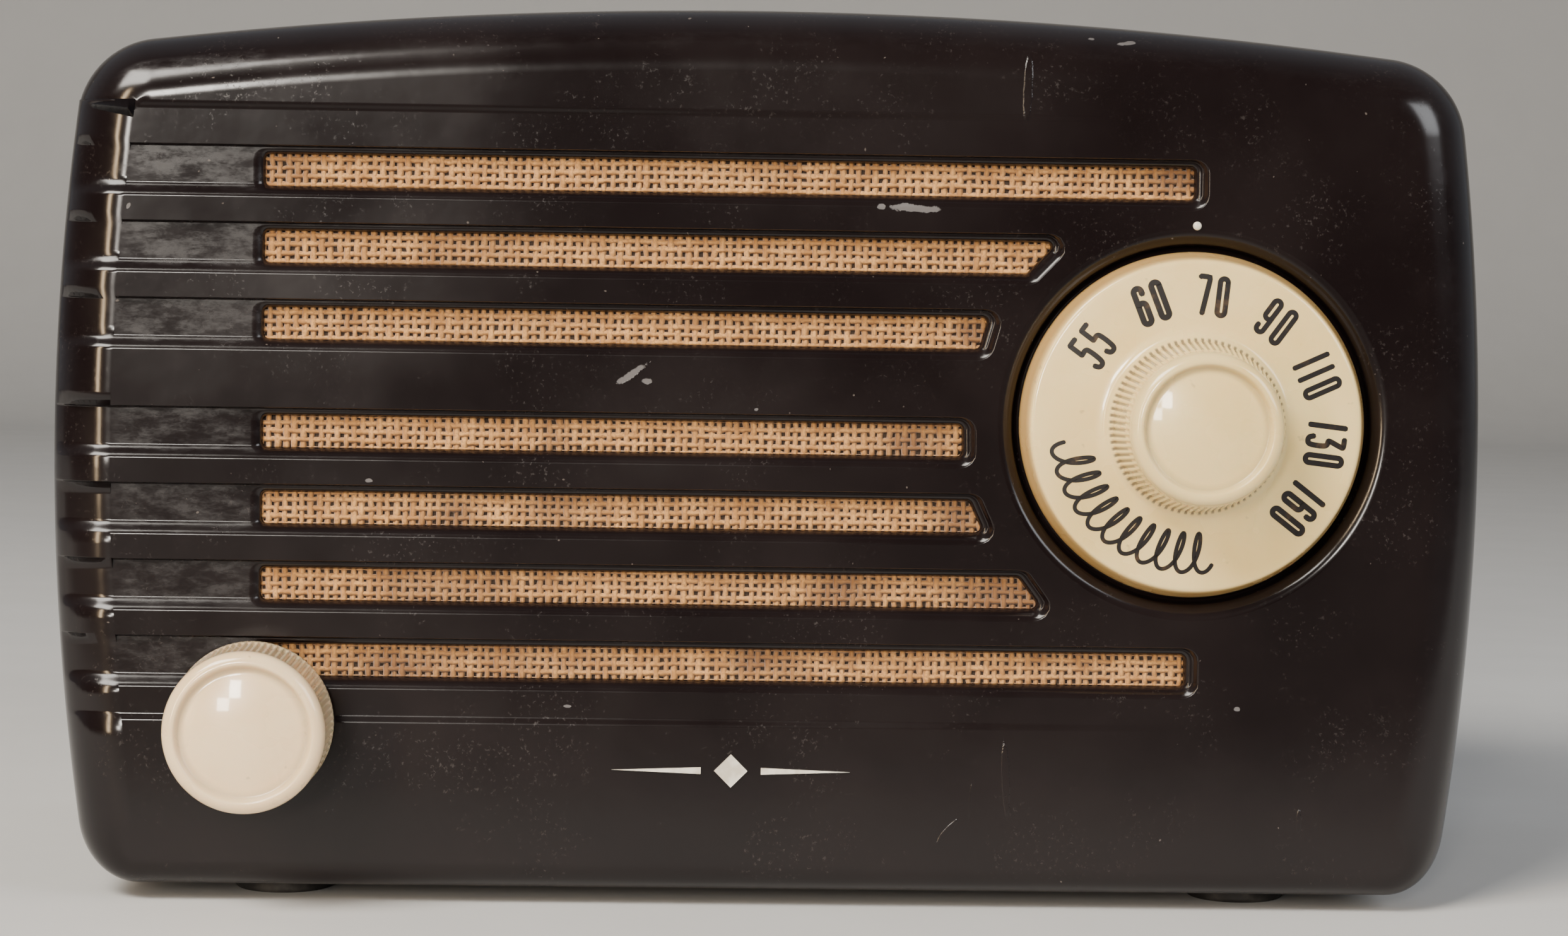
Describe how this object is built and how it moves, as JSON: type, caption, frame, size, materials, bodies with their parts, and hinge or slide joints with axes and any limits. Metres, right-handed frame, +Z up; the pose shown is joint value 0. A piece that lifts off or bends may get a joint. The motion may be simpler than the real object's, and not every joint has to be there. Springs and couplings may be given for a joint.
{
  "type": "table radio",
  "caption": "Small table radio with a slotted steel cabinet, round ivory dial knob, volume knob, cloth grille and valve chassis.",
  "frame": {"origin": "on the table under the middle of the radio, half-way between the knob faces and the rear edge of the cabinet", "axes": "+X to the right seen from the front, the front faces -Y, +Z up"},
  "size_m": [0.216, 0.1234, 0.135],
  "materials": {
    "cabinet_enamel": "glossy dark brown baked enamel on drawn steel",
    "foot_rubber": "matt black moulded rubber",
    "knob_plastic": "ivory moulded plastic, aged",
    "dial_plastic": "yellowed ivory moulded plastic",
    "trim_ivory": "ivory enamelled trim",
    "grille_fabric": "coarse tan woven grille cloth",
    "fibre_board": "dark fibre board",
    "shaft_steel": "plain steel rod",
    "phenolic": "dark laminated phenolic",
    "plated_steel": "zinc-plated steel",
    "gasket_board": "grey-brown pulp board",
    "basket_paint": "dark grey stove enamel",
    "magnet_iron": "plated iron pot",
    "cone_paper": "dark felted paper",
    "spider_cloth": "varnished cloth",
    "winding": "waxed enamelled copper winding",
    "chassis_plate": "plated steel sheet",
    "vane_aluminium": "rolled aluminium vanes",
    "insulator_ceramic": "unglazed steatite",
    "trimmer_brass": "brass",
    "electrode_metal": "carbonised nickel",
    "lamination_iron": "varnished iron laminations",
    "coil_paper": "waxed paper wrap",
    "capacitor_card": "waxed card tube",
    "resistor_body": "moulded carbon body",
    "back_hardboard": "dark tempered hardboard",
    "pin_brass": "plated brass pins",
    "valve_base": "black moulded base",
    "valve_glass": "clear glass",
    "can_aluminium": "drawn aluminium"
  },
  "bodies": {
    "root": {"back_cover": "back_hardboard", "back_screws": "plated_steel", "cabinet_shell": "cabinet_enamel", "chassis_pan": "chassis_plate", "chassis_screws": "plated_steel", "filter_capacitor": "capacitor_card", "front_ornament": "trim_ivory", "gang_frame": "plated_steel", "gang_grommets": "foot_rubber", "gang_insulators": "insulator_ceramic", "gang_screws": "plated_steel", "gang_stator": "vane_aluminium", "gang_trimmers": "trimmer_brass", "grille_baffle": "fibre_board", "grille_cloth": "grille_fabric", "if_can_1": "can_aluminium", "if_can_2": "can_aluminium", "index_pip": "knob_plastic", "inlet_pins": "pin_brass", "loop_antenna": "winding", "oscillator_coil": "winding", "output_transformer_coil": "coil_paper", "output_transformer_core": "lamination_iron", "paper_capacitors": "capacitor_card", "power_inlet": "phenolic", "power_switch": "plated_steel", "resistors": "resistor_body", "rubber_feet": "foot_rubber", "speaker_basket": "basket_paint", "speaker_gasket": "gasket_board", "speaker_magnet": "magnet_iron", "speaker_screws": "plated_steel", "terminal_strips": "phenolic", "tube_base_1": "valve_base", "tube_base_2": "valve_base", "tube_base_3": "valve_base", "tube_base_4": "valve_base", "tube_electrodes": "electrode_metal", "tube_glass_1": "valve_glass", "tube_glass_2": "valve_glass", "tube_glass_3": "valve_glass", "tube_glass_4": "valve_glass", "tube_sockets": "phenolic", "volume_case": "plated_steel", "volume_nut": "plated_steel", "volume_terminals": "phenolic"},
    "tuning": {"dial_knob": "dial_plastic", "tuning_shaft": "shaft_steel", "rotor_plates": "vane_aluminium"},
    "volume": {"volume_knob": "knob_plastic", "volume_shaft": "shaft_steel", "volume_wiper": "phenolic"},
    "cone": {"speaker_cone": "cone_paper", "voice_coil": "winding", "dust_cap": "cone_paper", "cone_surround": "cone_paper", "cone_spider": "spider_cloth"}
  },
  "joints": [
    {"name": "tuning_spin", "type": "hinge", "parent": "root", "child": "tuning", "pos_m": [0.0631, -0.04625, 0.07355], "axis": [0, 1, 0], "range_deg": [-125.5, 54.5]},
    {"name": "volume_spin", "type": "hinge", "parent": "root", "child": "volume", "pos_m": [-0.07675, -0.04625, 0.0274], "axis": [0, 1, 0], "range_deg": [0, 300]},
    {"name": "cone_throw", "type": "slide", "parent": "root", "child": "cone", "axis": [0, -1, 0], "range_m": [-0.0008, 0.0008], "stiffness_N_per_m": 800, "deforming": ["cone_surround", "cone_spider"]}
  ]
}
